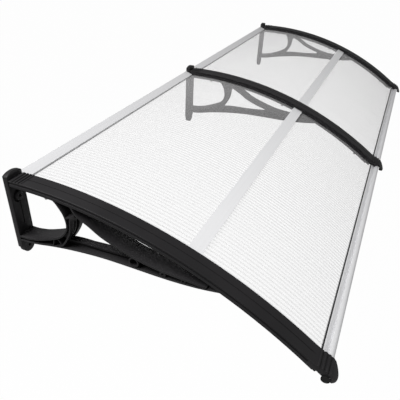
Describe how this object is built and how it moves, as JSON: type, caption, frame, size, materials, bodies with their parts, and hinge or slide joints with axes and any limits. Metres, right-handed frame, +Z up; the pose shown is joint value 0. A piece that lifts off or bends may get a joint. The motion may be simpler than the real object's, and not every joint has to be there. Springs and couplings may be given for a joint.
{
  "type": "door canopy",
  "caption": "Arched door canopy: fluted translucent sheets between moulded wall brackets with cover strips, a tubular front rail and a sloped rear rail.",
  "frame": {"origin": "on the wall face of the middle bracket's wall plate, on the bracket's middle plane, 102 mm below the plate's shoulders", "axes": "+X along the wall, +Y into the wall, +Z up; the canopy reaches out towards -Y"},
  "size_m": [2.0544, 0.7893, 0.2813],
  "materials": {
    "bracket_moulding": "fine-textured black moulding",
    "cover_moulding": "fine-textured black moulding",
    "screw": "bright zinc",
    "sheet": "translucent twin-wall sheet, smooth",
    "crossbar": "matt anodised",
    "rear_rail": "matt anodised",
    "seal": "matt rubber",
    "front_rail": "matt anodised",
    "cap": "black moulding"
  },
  "bodies": {
    "root": {"bracket_left": "bracket_moulding", "cover_left": "cover_moulding", "cover_screw_left_1": "screw", "cover_screw_left_2": "screw", "cover_screw_left_3": "screw", "bracket_middle": "bracket_moulding", "cover_middle": "cover_moulding", "cover_screw_middle_1": "screw", "cover_screw_middle_2": "screw", "cover_screw_middle_3": "screw", "bracket_right": "bracket_moulding", "cover_right": "cover_moulding", "cover_screw_right_1": "screw", "cover_screw_right_2": "screw", "cover_screw_right_3": "screw", "sheet_left": "sheet", "crossbar_left": "crossbar", "rear_rail_left": "rear_rail", "front_seal_left": "seal", "front_rail_left": "front_rail", "rail_cap_left": "cap", "sheet_right": "sheet", "crossbar_right": "crossbar", "rear_rail_right": "rear_rail", "front_seal_right": "seal", "front_rail_right": "front_rail", "rail_cap_right": "cap"}
  },
  "joints": []
}
